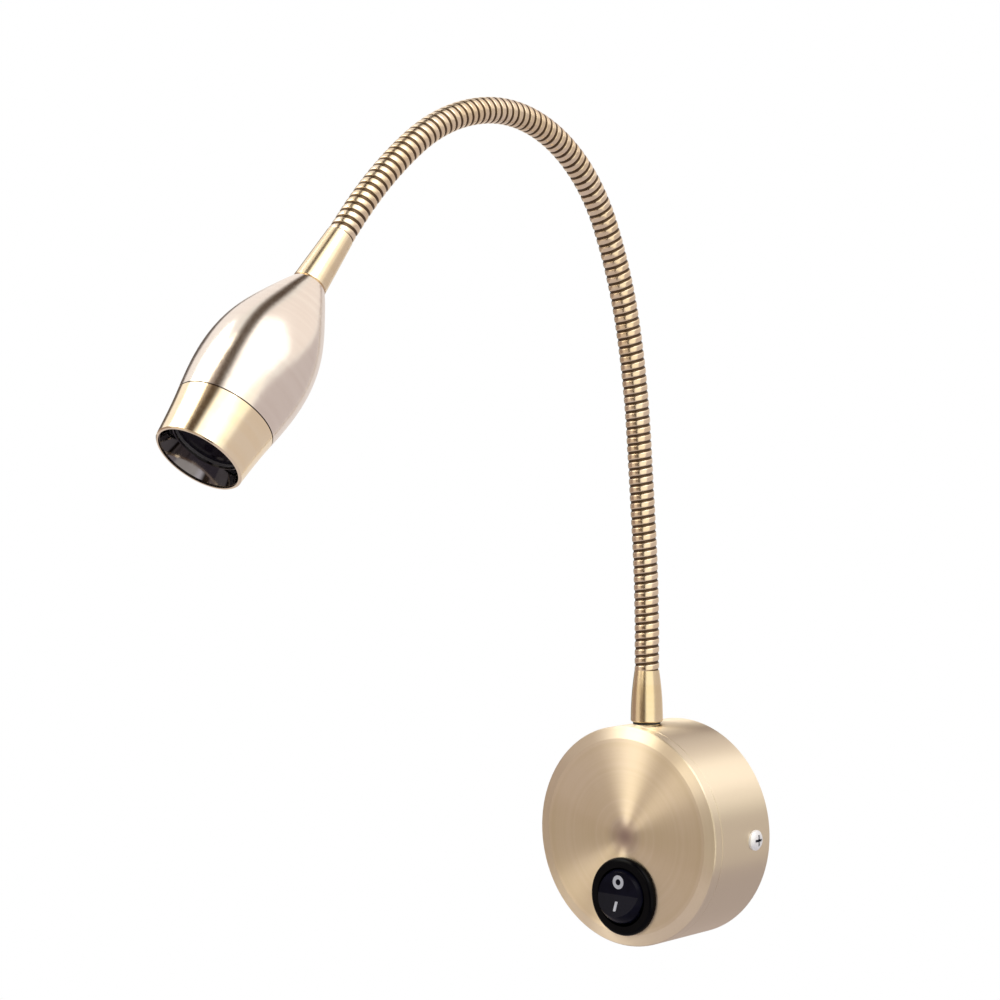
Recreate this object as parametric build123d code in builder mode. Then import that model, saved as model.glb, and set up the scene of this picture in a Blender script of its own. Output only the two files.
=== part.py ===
from build123d import *

import os
from math import cos, pi, radians, sin, sqrt

# Bedside wall reading lamp: a round wall base with a rocker switch, a ribbed gooseneck and a small spot head.
# Millimetres. +Z is up, the wall is the plane Y = 0 and the lamp stands out from it towards -Y.
# The origin is the middle of the base's back, on the wall.

# ---- driving dimensions: base ----
base_r = 32.5
base_depth = 28.0
base_wall = 1.5
base_front = 2.0
bevel_width = 3.5
bevel_depth = 0.8
edge_round = 0.3
seam_back = 4.2
seam_width = 0.3
seam_depth = 0.2

bracket_gap = 0.6
bracket_r = base_r - base_wall - bracket_gap
bracket_t = 1.5
ear_width = 10.0
ear_reach = 14.0
ear_t = 1.5
wall_hole_spacing = 44.0
wall_slot_width = 4.4
wall_slot_length = 8.0
cable_hole_r = 5.5
cable_hole_x = -15.0
cable_under_driver = 6.0
grommet_lip = 1.0
grommet_wall = 1.2
grommet_back = 0.1

side_screw_back = 8.0
side_screw_r = 1.5
side_screw_head_r = 3.0
side_screw_head_h = 1.6
side_screw_end = 1.4
side_screw_length = base_wall + bracket_gap + ear_t + side_screw_end
side_hole_r = 1.75
tapped_hole_r = 1.6

# ---- driving dimensions: electrics in the base ----
pad_t = 1.0
pad_inset = 2.0
driver_to_block = 2.5
driver_inset = 9.4
driver_over_switch = 1.9
driver_height = 18.0
driver_depth = 13.5
driver_wall = 1.2
driver_round = 1.5
board_t = 1.2
board_gap = 0.2
board_lift = 2.5
board_post = 3.0
converter_height = 6.5
converter_round = 1.0
capacitor_height = 7.0
capacitor_z = 2.0
filter_length = 9.0
filter_height = 5.0
lid_panel_t = 0.3
lid_panel_inset = 3.0
lid_panel_round = 1.0
terminal_width = 10.0
terminal_inset = 4.9
terminal_x = terminal_inset + terminal_width / 2 - bracket_r
terminal_z = 4.0
terminal_height = 14.0
terminal_depth = 9.0
terminal_pitch = 6.5
terminal_well_r = 2.0
terminal_well = 4.0
terminal_bore_r = 1.3
clamp_screw_r = 1.1
clamp_screw_l = 1.4
small_head_r = 1.8
small_head_h = 1.2
earth_head_r = 3.2
earth_head_h = 1.8
earth_inset = 5.56
earth_turn = radians(-49.9)
earth_x = (bracket_r - earth_inset) * cos(earth_turn)
earth_z = (bracket_r - earth_inset) * sin(earth_turn)
mains_wire_r = 0.8
mains_wire_bend = 2.4
wire_behind_switch = 2.0
switched_entry_x = 9.0
output_inset = 6.0
wire_hole_lift = 3.0
wire_into = 1.0
live_wire_run = 5.0
output_pitch = 4.0
output_clear = 3.6

# ---- driving dimensions: rocker switch ----
switch_hole_r = 10.0
bezel_r = 11.6
bezel_t = 1.8
bezel_past_flat = 0.3
switch_z = bezel_r + bevel_width - base_r - bezel_past_flat
switch_body_r = 9.8
switch_body_depth = 14.0
switch_wall = 0.6
pivot_drop = 1.2
rocker_r = 8.2
rocker_lip_gap = 0.5
rocker_skirt = 1.0
rocker_notch = 2.8
rocker_notch_half = 4.3
slab_depth = 2.4
slab_height = 10.0
rocker_swing_r = 8.6
rocker_half_width = 6.4
rocker_tilt = 11.0
rocker_rise = 1.5
face_rise = 1.4
bezel_round = 1.3
trunnion_r = 1.1
trunnion_gap = 0.06
cheek_t = 1.6
cheek_gap = 0.25
cheek_height = 1.9
cheek_width = 7.0
plunger_r = 1.0
plunger_gap = 0.1
plunger_reach = 6.35
plunger_head = 1.9
plunger_bore = 4.6
spring_turns = 4
spring_r = 0.7
spring_wire = 0.18
lever_t = 0.5
lever_gap = 0.3
lever_tilt = 8.0
lever_half = 6.2
lever_width = 5.0
contact_r = 1.0
contact_t = 0.5
contact_gap = 0.1
terminal_tab_w = 4.8
terminal_tab_t = 0.8
tab_to_bracket = 3.8
tab_slot_gap = 0.05
terminal_tab_step = 6.0

# ---- driving dimensions: collar and lower end of the gooseneck ----
hose_to_front = 10.6
hose_back = base_depth - hose_to_front
collar_r = 4.8
collar_top_r = 3.65
collar_height = 15.3
washer_t = 0.7
washer_r = 4.1
thread_r = 3.9
thread_clearance = 0.05
thread_lead = 0.4
fitting_r = 3.0
thread_up = 6.0
thread_down = 12.5
saddle_r = 7.0
saddle_t = 1.6
lock_t = 0.8
lock_split = 0.8
nut_flats = 12.0
nut_t = 3.0

# ---- driving dimensions: gooseneck ----
rib_pitch = 2.43
crest_r = 3.65
groove_r = 3.05
groove_half = 0.3
flank = 0.36
bore_r = 1.7
straight_rib_count = 3
bend_rib_count = 13
bend_turns = [5.0, 0.5, 8.0, 14.0, 33.5, 35.0, 28.5, 14.0]
joint_tip = 0.33
joint_tip_r = 1.85
wire_r = 0.6
wire_spread = 0.7
wire_setback = 0.35

# ---- driving dimensions: head ----
neck_length = 16.8
neck_r = 3.75
neck_end_r = 4.7
neck_step = 10.0
shell_length = 44.7
shoulder_r = 4.4
flank_at = 7.9
flank_r = 8.6
swell_at = 19.1
swell_r = 13.25
widest_at = 30.7
widest_r = 14.85
seam_r = 13.45
seam_slope = -0.165
shoulder_slope = 0.6
seam_gap = 0.3
seam_gap_depth = 0.5
ring_length = 13.7
mouth_r = 11.9
mouth_slope = -0.09
head_rear_wall = 8.2
head_floor_r = 6.2
head_bore_from = 19.2
head_bore_r = 12.0
step_r = 11.0
ring_thread_length = 5.0
ring_bore_r = 11.4
ring_lip_r = 11.15
ring_lip_t = 0.6
bore_past_sink = 8.0
sink_length = shell_length - head_bore_from - bore_past_sink
sink_clearance = 0.1
fin_count = 5
fin_groove = 1.2
fin_first = 2.2
fin_last = 2.9
fin_pitch = (sink_length - fin_first - fin_groove - fin_last) / (fin_count - 1)
fin_groove_depth = 3.0
wire_hole_y = 6.5
wire_hole_r = 1.5
star_r = 9.6
star_t = 1.6
star_screw_x = 6.9
star_screw_r = 1.0
star_screw_length = 5.0
emitter_side = 3.5
emitter_base_t = 0.8
dome_r = 1.3
holder_r = 10.7
holder_wall = 0.7
lens_r = 9.9
lens_rear_r = 4.2
lens_back_gap = 1.9
lens_length = 12.0
lens_flange_t = 1.2
lens_cavity_r = 2.4
lens_cavity_depth = 2.5
lens_seat_t = 1.2
gasket_t = 0.8
gasket_width = 0.4
baffle_t = 0.33
baffle_mouth_r = 11.05
baffle_foot_r = 9.8
ledge_r = 9.5
ledge_t = 0.6
head_thread_r = 3.4
head_nut_flats = 9.0
head_nut_t = 2.5
head_washer_r = 4.8
thread_past_nut = 0.8
wire_bend_r = 2.0

lip = 0.2
os.makedirs("parts", exist_ok=True)

# ---- places in the base that follow from its size ----
pivot_out = base_depth - pivot_drop
housing_bottom = pivot_out - switch_body_depth
terminal_tab_l = housing_bottom - bracket_t - tab_to_bracket
switched_entry_out = housing_bottom - wire_behind_switch
driver_left = terminal_x + terminal_width / 2 + driver_to_block
driver_right = bracket_r - driver_inset
driver_width = driver_right - driver_left
driver_x = (driver_left + driver_right) / 2
driver_bottom = switch_z + switch_body_r + driver_over_switch
driver_z = driver_bottom + driver_height / 2
cable_hole_z = driver_bottom - cable_under_driver
output_entry_x = driver_right - output_inset


def keep(part, label):
    part.label = label
    export_step(part, "parts/" + label + ".step")


# ---- frames ----
# Half sections through the base are drawn with x = distance out from the wall and y = height.
base_section = Plane(origin=(0, 0, 0), x_dir=(0, -1, 0), z_dir=(-1, 0, 0))
base_axis = Axis((0, 0, 0), (0, -1, 0))


def facing(out, x=0.0, z=0.0):
    """The plane at a distance out from the wall, facing the room, with x to the right and y up."""
    return Plane(origin=(x, -out, z), x_dir=(1, 0, 0), z_dir=(0, -1, 0))


def level(z, x=0.0, out=0.0):
    """The level plane at a height, with its origin over a point of the base."""
    return Plane(origin=(x, -out, z), x_dir=(1, 0, 0), z_dir=(0, 0, 1))


# ---- shared builders ----
def turned(section, axis, points):
    """A solid of revolution from a closed outline."""
    with BuildPart() as body:
        with BuildSketch(section):
            with BuildLine():
                Polyline(*points, close=True)
            make_face()
        revolve(axis=axis)
    return body.part


def pan_screws(places, head_r, head_h, shank_r, shank_l):
    """One cross-head screw at each plane, its domed head along the plane's normal and its shank behind."""
    recess = head_h * 0.6
    with BuildPart() as screws:
        for place in places:
            section = Plane(origin=place.origin, x_dir=place.x_dir, z_dir=place.y_dir)
            with BuildSketch(section):
                with BuildLine():
                    Line((0, shank_l), (shank_r, shank_l))
                    Line((shank_r, shank_l), (shank_r, 0))
                    Line((shank_r, 0), (head_r, 0))
                    Line((head_r, 0), (head_r, -head_h * 0.45))
                    ThreePointArc((head_r, -head_h * 0.45), (head_r * 0.72, -head_h * 0.86), (0, -head_h))
                    Line((0, -head_h), (0, shank_l))
                make_face()
            revolve(axis=Axis(place.origin, place.z_dir))
            with BuildSketch(place.offset(head_h + lip)):
                Rectangle(head_r * 1.1, head_r * 0.26)
                Rectangle(head_r * 0.26, head_r * 1.1)
            extrude(amount=-recess - lip, mode=Mode.SUBTRACT)
    return screws.part


def hex_nut(place, flats, bore, thickness):
    """A hexagon nut on a plane, with its outer corners eased."""
    with BuildPart() as nut:
        with BuildSketch(place):
            RegularPolygon(flats / 2, 6, major_radius=False)
            Circle(bore, mode=Mode.SUBTRACT)
        extrude(amount=thickness)
        corners = nut.edges().filter_by(lambda e: abs(e.length - flats / sqrt(3)) < 0.01)
        chamfer(corners, length=0.3)
    return nut.part


def round_wire(points, bend_r, radius):
    """A wire along straight runs joined by arcs."""
    with BuildPart() as wire:
        with BuildLine() as path:
            FilletPolyline(*points, radius=bend_r)
        with BuildSketch(Plane(origin=path.line @ 0, z_dir=path.line % 0)):
            Circle(radius)
        sweep()
    return wire.part


# ---- base cover: a turned cup, open to the wall ----
cover_inner_r = base_r - base_wall
groove_at = base_depth - seam_back
with BuildPart() as base_cover:
    with BuildSketch(base_section):
        with BuildLine():
            Polyline(
                (0, cover_inner_r),
                (0, base_r - edge_round),
                (edge_round, base_r),
                (groove_at - seam_width / 2, base_r),
                (groove_at, base_r - seam_depth),
                (groove_at + seam_width / 2, base_r),
                (base_depth - bevel_depth - edge_round, base_r),
                (base_depth - bevel_depth, base_r - edge_round),
                (base_depth, base_r - bevel_width),
                (base_depth, 0),
                (base_depth - base_front, 0),
                (base_depth - base_front, cover_inner_r),
                close=True,
            )
        make_face()
    revolve(axis=base_axis)
    with BuildSketch(facing(base_depth + lip, 0, switch_z)):
        Circle(switch_hole_r)
    extrude(amount=-base_front - 2 * lip, mode=Mode.SUBTRACT)
    with BuildSketch(level(base_r + lip, 0, hose_back)):
        Circle(thread_r + 3 * thread_clearance)
    extrude(amount=-base_wall - saddle_t, mode=Mode.SUBTRACT)
    with BuildSketch(Plane(origin=(-base_r - lip, -side_screw_back, 0), x_dir=(0, -1, 0), z_dir=(1, 0, 0))):
        Circle(side_hole_r)
    extrude(amount=2 * (base_r + lip), mode=Mode.SUBTRACT)
keep(base_cover.part, "base_cover")

# ---- wall bracket: a flat plate with two ears that the side screws go into ----
with BuildPart() as wall_bracket:
    with BuildSketch(facing(0)):
        Circle(bracket_r)
    extrude(amount=bracket_t)
    for side in (-1, 1):
        with BuildSketch(facing(0, side * (bracket_r - ear_t / 2), 0)):
            Rectangle(ear_t, ear_width)
        extrude(amount=ear_reach)
    with BuildSketch(Plane(origin=(-base_r, -side_screw_back, 0), x_dir=(0, -1, 0), z_dir=(1, 0, 0))):
        Circle(tapped_hole_r)
    extrude(amount=2 * base_r, mode=Mode.SUBTRACT)
    with BuildSketch(facing(-lip)):
        with Locations((0, -wall_hole_spacing / 2), (0, wall_hole_spacing / 2)):
            SlotOverall(wall_slot_length, wall_slot_width, rotation=90)
        with Locations((cable_hole_x, cable_hole_z)):
            Circle(cable_hole_r)
        with Locations((earth_x, earth_z)):
            Circle(tapped_hole_r)
    extrude(amount=bracket_t + 2 * lip, mode=Mode.SUBTRACT)
    with BuildSketch(facing(-lip)):
        Circle(base_r)
        Circle(bracket_r, mode=Mode.SUBTRACT)
    extrude(amount=ear_reach + 2 * lip, mode=Mode.SUBTRACT)
keep(wall_bracket.part, "wall_bracket")

# ---- side screws, one on each side ----
side_places = [
    Plane(origin=(side * base_r, -side_screw_back, 0), x_dir=(0, 0, 1), z_dir=(side, 0, 0))
    for side in (-1, 1)
]
keep(
    pan_screws(side_places, side_screw_head_r, side_screw_head_h, side_screw_r, side_screw_length),
    "cover_screws",
)

# ---- earth screw on the bracket ----
earth_place = facing(bracket_t, earth_x, earth_z)
keep(pan_screws([earth_place], earth_head_r, earth_head_h, side_screw_r, bracket_t), "earth_screw")

# ---- cable grommet in the bracket's entry hole ----
grommet_section = Plane(origin=(cable_hole_x, 0, cable_hole_z), x_dir=(0, -1, 0), z_dir=(-1, 0, 0))
grommet_r = cable_hole_r - thread_clearance
keep(
    turned(
        grommet_section,
        Axis((cable_hole_x, 0, cable_hole_z), (0, -1, 0)),
        [
            (grommet_back, grommet_r - grommet_wall),
            (grommet_back, grommet_r),
            (bracket_t, grommet_r),
            (bracket_t, grommet_r + grommet_lip),
            (bracket_t + grommet_lip, grommet_r + grommet_lip),
            (bracket_t + grommet_lip, grommet_r - grommet_wall),
        ],
    ),
    "cable_grommet",
)

# ---- LED driver: foam pad, case, lid, board and the parts on the board ----
case_back = bracket_t + pad_t
case_front = case_back + driver_depth
board_back = case_back + driver_wall + board_lift
wire_hole_out = bracket_t + wire_hole_lift
neutral_z = terminal_z + terminal_pitch / 2
live_z = terminal_z - terminal_pitch / 2
room_width = driver_width - 2 * driver_wall
room_height = driver_height - 2 * driver_wall
with BuildPart() as driver_pad:
    with BuildSketch(facing(bracket_t, driver_x, driver_z)):
        RectangleRounded(driver_width - 2 * pad_inset, driver_height - 2 * pad_inset, driver_round)
    extrude(amount=pad_t)
keep(driver_pad.part, "driver_pad")

with BuildPart() as driver_case:
    with BuildSketch(facing(case_back, driver_x, driver_z)):
        RectangleRounded(driver_width, driver_height, driver_round)
    extrude(amount=driver_depth - driver_wall)
    with BuildSketch(facing(case_back + driver_wall, driver_x, driver_z)):
        Rectangle(room_width, room_height)
    extrude(amount=driver_depth, mode=Mode.SUBTRACT)
    with BuildSketch(facing(case_back + driver_wall, driver_x, driver_z)):
        with GridLocations(room_width - board_post, room_height - board_post, 2, 2):
            Rectangle(board_post, board_post)
    extrude(amount=board_back - case_back - driver_wall)
    with BuildSketch(level(driver_z - driver_height / 2 - lip, switched_entry_x, switched_entry_out)):
        Circle(mains_wire_r + thread_clearance)
    extrude(amount=driver_wall + 2 * lip, mode=Mode.SUBTRACT)
    with BuildSketch(Plane(origin=(driver_x - driver_width / 2 - lip, -wire_hole_out, neutral_z), x_dir=(0, 0, 1),
                           z_dir=(1, 0, 0))):
        Circle(mains_wire_r + thread_clearance)
    extrude(amount=driver_wall + 2 * lip, mode=Mode.SUBTRACT)
keep(driver_case.part, "driver_case")

board_width = room_width - 2 * board_gap
board_height = room_height - 2 * board_gap
with BuildPart() as driver_board:
    with BuildSketch(facing(board_back, driver_x, driver_z)):
        Rectangle(board_width, board_height)
    extrude(amount=board_t)
keep(driver_board.part, "driver_board")

# On the board, from left to right: the filter, the converter and the capacitor, in shares of its width.
parts_back = board_back + board_t
filter_x = driver_x - 0.385 * board_width
converter_x = driver_x - 0.095 * board_width
capacitor_x = driver_x + 0.255 * board_width
converter_side = 0.32 * board_width
with BuildPart() as driver_components:
    with BuildSketch(facing(parts_back, converter_x, driver_z)):
        RectangleRounded(converter_side, converter_side, converter_round)
    extrude(amount=converter_height)
    with BuildSketch(facing(parts_back, capacitor_x, driver_z + capacitor_z)):
        Circle(0.1 * board_width)
    extrude(amount=capacitor_height)
    with BuildSketch(facing(parts_back, filter_x, driver_z)):
        Rectangle(0.16 * board_width, filter_length)
    extrude(amount=filter_height)
keep(driver_components.part, "driver_components")

panel_right = output_entry_x - wire_r
with BuildPart() as driver_lid:
    with BuildSketch(facing(case_front - driver_wall, driver_x, driver_z)):
        RectangleRounded(driver_width, driver_height, driver_round)
    extrude(amount=driver_wall)
    with BuildSketch(facing(case_front, (driver_left + panel_right) / 2, driver_z)):
        panel_height = driver_height - 2 * lid_panel_inset
        RectangleRounded(panel_right - driver_left - 2 * lid_panel_inset, panel_height, lid_panel_round)
    extrude(amount=lid_panel_t)
    with BuildSketch(facing(case_front - driver_wall - lip, output_entry_x, driver_z)):
        with GridLocations(0, output_pitch, 1, 2):
            Circle(wire_r + 2 * thread_clearance)
    extrude(amount=driver_wall + 3 * lip, mode=Mode.SUBTRACT)
keep(driver_lid.part, "driver_lid")

# ---- supply terminal block and its two screws ----
block_front = bracket_t + terminal_depth
with BuildPart() as terminal_block:
    with BuildSketch(facing(bracket_t, terminal_x, terminal_z)):
        RectangleRounded(terminal_width, terminal_height, 1)
    extrude(amount=terminal_depth)
    with BuildSketch(facing(block_front, terminal_x, terminal_z)):
        with GridLocations(0, terminal_pitch, 1, 2):
            Circle(terminal_well_r)
    extrude(amount=-terminal_well, mode=Mode.SUBTRACT)
    with BuildSketch(Plane(origin=(terminal_x - terminal_width, -wire_hole_out, terminal_z), x_dir=(0, 0, 1),
                           z_dir=(1, 0, 0))):
        with GridLocations(terminal_pitch, 0, 2, 1):
            Circle(terminal_bore_r)
    extrude(amount=2 * terminal_width, mode=Mode.SUBTRACT)
keep(terminal_block.part, "terminal_block")
clamp_out = block_front - terminal_well + clamp_screw_l
terminal_places = [
    facing(clamp_out, terminal_x, terminal_z + side * terminal_pitch / 2) for side in (-1, 1)
]
keep(pan_screws(terminal_places, small_head_r, small_head_h, clamp_screw_r, clamp_screw_l), "terminal_screws")

# ---- rocker switch: housing, rocker, plunger, spring, contact lever and tabs ----
cavity_r = switch_body_r - switch_wall
cavity_floor = housing_bottom + 2 * switch_wall
lip_r = rocker_r + rocker_lip_gap
cheek_x = rocker_half_width + cheek_gap + cheek_t / 2
pivot_across = Plane(origin=(0, -pivot_out, switch_z), x_dir=(0, 0, 1), z_dir=(1, 0, 0))
with BuildPart() as switch_housing:
    with BuildSketch(facing(housing_bottom, 0, switch_z)):
        Circle(switch_body_r)
    extrude(amount=base_depth - housing_bottom)
    with BuildSketch(facing(base_depth, 0, switch_z)):
        Circle(bezel_r)
    extrude(amount=bezel_t)
    rim = switch_housing.edges().filter_by(GeomType.CIRCLE).sort_by(Axis.Y)[0]
    fillet(rim, bezel_round)
    with BuildSketch(facing(cavity_floor, 0, switch_z)):
        Circle(cavity_r)
    extrude(amount=base_depth - cavity_floor, mode=Mode.SUBTRACT)
    with BuildSketch(facing(cavity_floor, 0, switch_z)):
        Circle(lip_r)
    extrude(amount=base_depth + bezel_t + lip - cavity_floor, mode=Mode.SUBTRACT)
    with BuildSketch(facing(cavity_floor, 0, switch_z)):
        with Locations((-cheek_x, 0), (cheek_x, 0)):
            Rectangle(cheek_t, cheek_width)
    extrude(amount=pivot_out + cheek_height - cavity_floor)
    with BuildSketch(pivot_across):
        Circle(trunnion_r + trunnion_gap)
    extrude(amount=cheek_x + cheek_t / 2 + tab_slot_gap, both=True, mode=Mode.SUBTRACT)
    with BuildSketch(facing(housing_bottom - lip, 0, switch_z)):
        with Locations((0, 0), (0, terminal_tab_step)):
            Rectangle(terminal_tab_w + 2 * tab_slot_gap, terminal_tab_t + 2 * tab_slot_gap)
    extrude(amount=cavity_floor - housing_bottom + 2 * lip, mode=Mode.SUBTRACT)
keep(switch_housing.part, "switch_housing")

# At rest the upper end, marked O, is pressed in and the lower end, marked I, stands proud.
rocker_dir = (0, -cos(radians(rocker_tilt)), sin(radians(rocker_tilt)))
rocker_out = Plane(origin=(0, -pivot_out, switch_z), x_dir=(1, 0, 0), z_dir=rocker_dir)
rocker_side = Plane(origin=(0, -pivot_out, switch_z), x_dir=rocker_dir, z_dir=(-1, 0, 0))
face_low = pivot_drop + bezel_t + face_rise
face_high = face_low + rocker_rise
with BuildPart() as switch_rocker:
    with BuildSketch(rocker_out.offset(rocker_skirt)):
        Circle(rocker_r)
    extrude(amount=rocker_r)
    with BuildSketch(rocker_out.offset(-slab_depth)):
        Rectangle(2 * rocker_half_width, slab_height)
    extrude(amount=slab_depth + rocker_skirt)
    for side in (-1, 1):
        with BuildSketch(rocker_out.offset(rocker_notch)):
            with Locations((side * (rocker_half_width + rocker_r), 0)):
                Rectangle(2 * rocker_r, 2 * rocker_notch_half)
        extrude(amount=-rocker_notch, mode=Mode.SUBTRACT)
    with Locations(rocker_out):
        Sphere(rocker_swing_r, mode=Mode.INTERSECT)
    with BuildSketch(rocker_side):
        with BuildLine():
            Line((face_high, rocker_r), (face_low, 0))
            Line((face_low, 0), (face_high, -rocker_r))
            Polyline((face_high, -rocker_r), (2 * rocker_swing_r, -rocker_r), (2 * rocker_swing_r, rocker_r),
                     (face_high, rocker_r))
        make_face()
    extrude(amount=rocker_r + lip, both=True, mode=Mode.SUBTRACT)
    with BuildSketch(pivot_across):
        Circle(trunnion_r)
    extrude(amount=cheek_x + cheek_t / 2 - cheek_gap, both=True)
    with BuildSketch(rocker_out.offset(-slab_depth)):
        Circle(plunger_r + plunger_gap)
    extrude(amount=plunger_bore, mode=Mode.SUBTRACT)
keep(switch_rocker.part, "switch_rocker")

# The plunger and its spring sit in the rocker and swing with it.
plunger_axis = Axis(rocker_side.origin, rocker_side.x_dir)
with BuildPart() as switch_plunger:
    with BuildSketch(rocker_side):
        with BuildLine():
            RadiusArc((-plunger_reach, 0), (plunger_r - plunger_reach, plunger_r), plunger_r)
            Polyline((plunger_r - plunger_reach, plunger_r), (-plunger_head, plunger_r), (-plunger_head, 0),
                     (-plunger_reach, 0))
        make_face()
    revolve(axis=plunger_axis)
keep(switch_plunger.part, "switch_plunger")

spring_length = plunger_head + plunger_bore - slab_depth - plunger_gap
spring_pitch = (spring_length - 2 * spring_wire) / spring_turns
with BuildPart() as plunger_spring:
    with BuildLine() as coil:
        Helix(
            pitch=spring_pitch,
            height=spring_pitch * spring_turns,
            radius=spring_r,
            center=rocker_out.from_local_coords((0, 0, spring_wire - plunger_head)),
            direction=rocker_out.z_dir,
        )
    with BuildSketch(Plane(origin=coil.line @ 0, z_dir=coil.line % 0)):
        Circle(spring_wire)
    sweep()
keep(plunger_spring.part, "plunger_spring")
print("plunger spring's gap between turns", round(spring_pitch - 2 * spring_wire, 2), "mm")

# The see-saw contact lever under the plunger, on the edge of the middle tab. At rest its lower end is in.
fulcrum_out = pivot_out - plunger_reach - lever_gap - lever_t
lever_turn = radians(lever_tilt)
lever_plane = Plane(
    origin=(0, -fulcrum_out, switch_z), x_dir=(1, 0, 0), z_dir=(0, -cos(lever_turn), -sin(lever_turn))
)
contact_z = lever_half - contact_r
with BuildPart() as contact_lever:
    with BuildSketch(lever_plane):
        Rectangle(lever_width, 2 * lever_half)
    extrude(amount=lever_t)
    with BuildSketch(lever_plane):
        with Locations((0, contact_z)):
            Circle(contact_r)
    extrude(amount=-contact_t)
keep(contact_lever.part, "contact_lever")

# The middle tab carries the lever; the upper tab has the fixed contact that the lever closes on.
closed_contact_out = fulcrum_out - contact_z * sin(lever_turn) - contact_t - 2 * contact_gap
with BuildPart() as switch_tabs:
    with BuildSketch(facing(housing_bottom - terminal_tab_l, 0, switch_z)):
        Rectangle(terminal_tab_w, terminal_tab_t)
    extrude(amount=terminal_tab_l + fulcrum_out - contact_gap - housing_bottom)
    with BuildSketch(facing(housing_bottom - terminal_tab_l, 0, switch_z + terminal_tab_step)):
        Rectangle(terminal_tab_w, terminal_tab_t)
    extrude(amount=terminal_tab_l + closed_contact_out - contact_t - housing_bottom)
    with BuildSketch(facing(closed_contact_out - contact_t, 0, switch_z + contact_z)):
        Rectangle(terminal_tab_w, 2 * (terminal_tab_step - contact_z) + terminal_tab_t)
    extrude(amount=-terminal_tab_t)
    with BuildSketch(facing(closed_contact_out - contact_t, 0, switch_z + contact_z)):
        Circle(contact_r)
    extrude(amount=contact_t)
keep(switch_tabs.part, "switch_tabs")

# ---- collar, its washer, the threaded fitting and what clamps it inside the base ----
collar_bottom = base_r + washer_t
collar_top = collar_bottom + collar_height
thread_top = collar_bottom + thread_up
thread_bottom = base_r - thread_down
hose_axis = Axis((0, -hose_back, 0), (0, 0, 1))
hose_section = Plane(origin=(0, -hose_back, 0), x_dir=(0, 0, 1), z_dir=(-1, 0, 0))
keep(
    turned(
        hose_section,
        hose_axis,
        [
            (base_r, thread_r + thread_clearance),
            (base_r, washer_r),
            (collar_bottom, washer_r),
            (collar_bottom, thread_r + thread_clearance),
        ],
    ),
    "collar_washer",
)

with BuildPart() as collar:
    with BuildSketch(hose_section):
        with BuildLine():
            Line((collar_bottom, thread_r + thread_clearance), (collar_bottom, collar_r - edge_round))
            Line((collar_bottom, collar_r - edge_round), (collar_bottom + edge_round, collar_r))
            TangentArc((collar_bottom + edge_round, collar_r), (collar_top, collar_top_r), tangent=(1, 0))
            Line((collar_top, collar_top_r), (collar_top, fitting_r + thread_clearance))
            Polyline(
                (collar_top, fitting_r + thread_clearance),
                (thread_top + lip, fitting_r + thread_clearance),
                (thread_top + lip, thread_r + thread_clearance),
                (collar_bottom, thread_r + thread_clearance),
            )
        make_face()
    revolve(axis=hose_axis)
keep(collar.part, "collar")

keep(
    turned(
        hose_section,
        hose_axis,
        [
            (thread_bottom, bore_r),
            (thread_bottom, thread_r - thread_lead),
            (thread_bottom + thread_lead, thread_r),
            (thread_top, thread_r),
            (thread_top, fitting_r),
            (collar_top, fitting_r),
            (collar_top, bore_r),
        ],
    ),
    "lower_fitting",
)

# The saddle washer fills the hollow of the base's round wall and gives the nut a flat seat.
saddle_bottom = cover_inner_r - saddle_t - (cover_inner_r - (cover_inner_r**2 - saddle_r**2) ** 0.5)
with BuildPart() as saddle_washer:
    with BuildSketch(level(saddle_bottom, 0, hose_back)):
        Circle(saddle_r)
        Circle(thread_r + 2 * thread_clearance, mode=Mode.SUBTRACT)
    extrude(amount=base_r - saddle_bottom)
    with BuildSketch(facing(0)):
        Circle(cover_inner_r - thread_clearance)
    extrude(amount=base_depth, mode=Mode.INTERSECT)
keep(saddle_washer.part, "saddle_washer")

with BuildPart() as lock_washer:
    with BuildSketch(level(saddle_bottom, 0, hose_back)):
        Circle(nut_flats / 2)
        Circle(thread_r + 2 * thread_clearance, mode=Mode.SUBTRACT)
        with Locations((nut_flats / 2, 0)):
            Rectangle(nut_flats / 2, lock_split, mode=Mode.SUBTRACT)
    extrude(amount=-lock_t)
keep(lock_washer.part, "lock_washer")

nut_place = level(saddle_bottom - lock_t - nut_t, 0, hose_back)
keep(hex_nut(nut_place, nut_flats, thread_r + thread_clearance, nut_t), "gooseneck_nut")

# ---- gooseneck: eight ribbed lengths that follow the bend, in the plane X = 0 ----
def follow(steps):
    """Places along the gooseneck's middle line, one per (length, turn in degrees), from the collar's top."""
    out, up, heading = hose_back, collar_top, 0.0
    places = [(out, up, heading)]
    for length, turn in steps:
        half = radians(turn / 2)
        chord = length if turn == 0 else length * sin(half) / half
        out += chord * sin(heading + half)
        up += chord * cos(heading + half)
        heading += radians(turn)
        places.append((out, up, heading))
    return places


def across(place, along=0.0):
    """The plane square to the gooseneck at a place, or a little further along its direction there."""
    out, up, heading = place
    return Plane(
        origin=(0, -out - along * sin(heading), up + along * cos(heading)),
        x_dir=(1, 0, 0),
        z_dir=(0, -sin(heading), cos(heading)),
    )


last = len(bend_turns) - 1
lengths = []
for number, turn in enumerate(bend_turns):
    rib_turn = turn / bend_rib_count
    before = [0.0] * (straight_rib_count if number == 0 else 0)
    after = [0.0] * (straight_rib_count if number == last else 0)
    lengths.append(before + [rib_turn] * bend_rib_count + after)
rib_starts = follow([(rib_pitch, turn) for turns in lengths for turn in turns])
hose_end = rib_starts[-1]
hose_length = rib_pitch * (len(rib_starts) - 1)
joint_places = []


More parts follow.
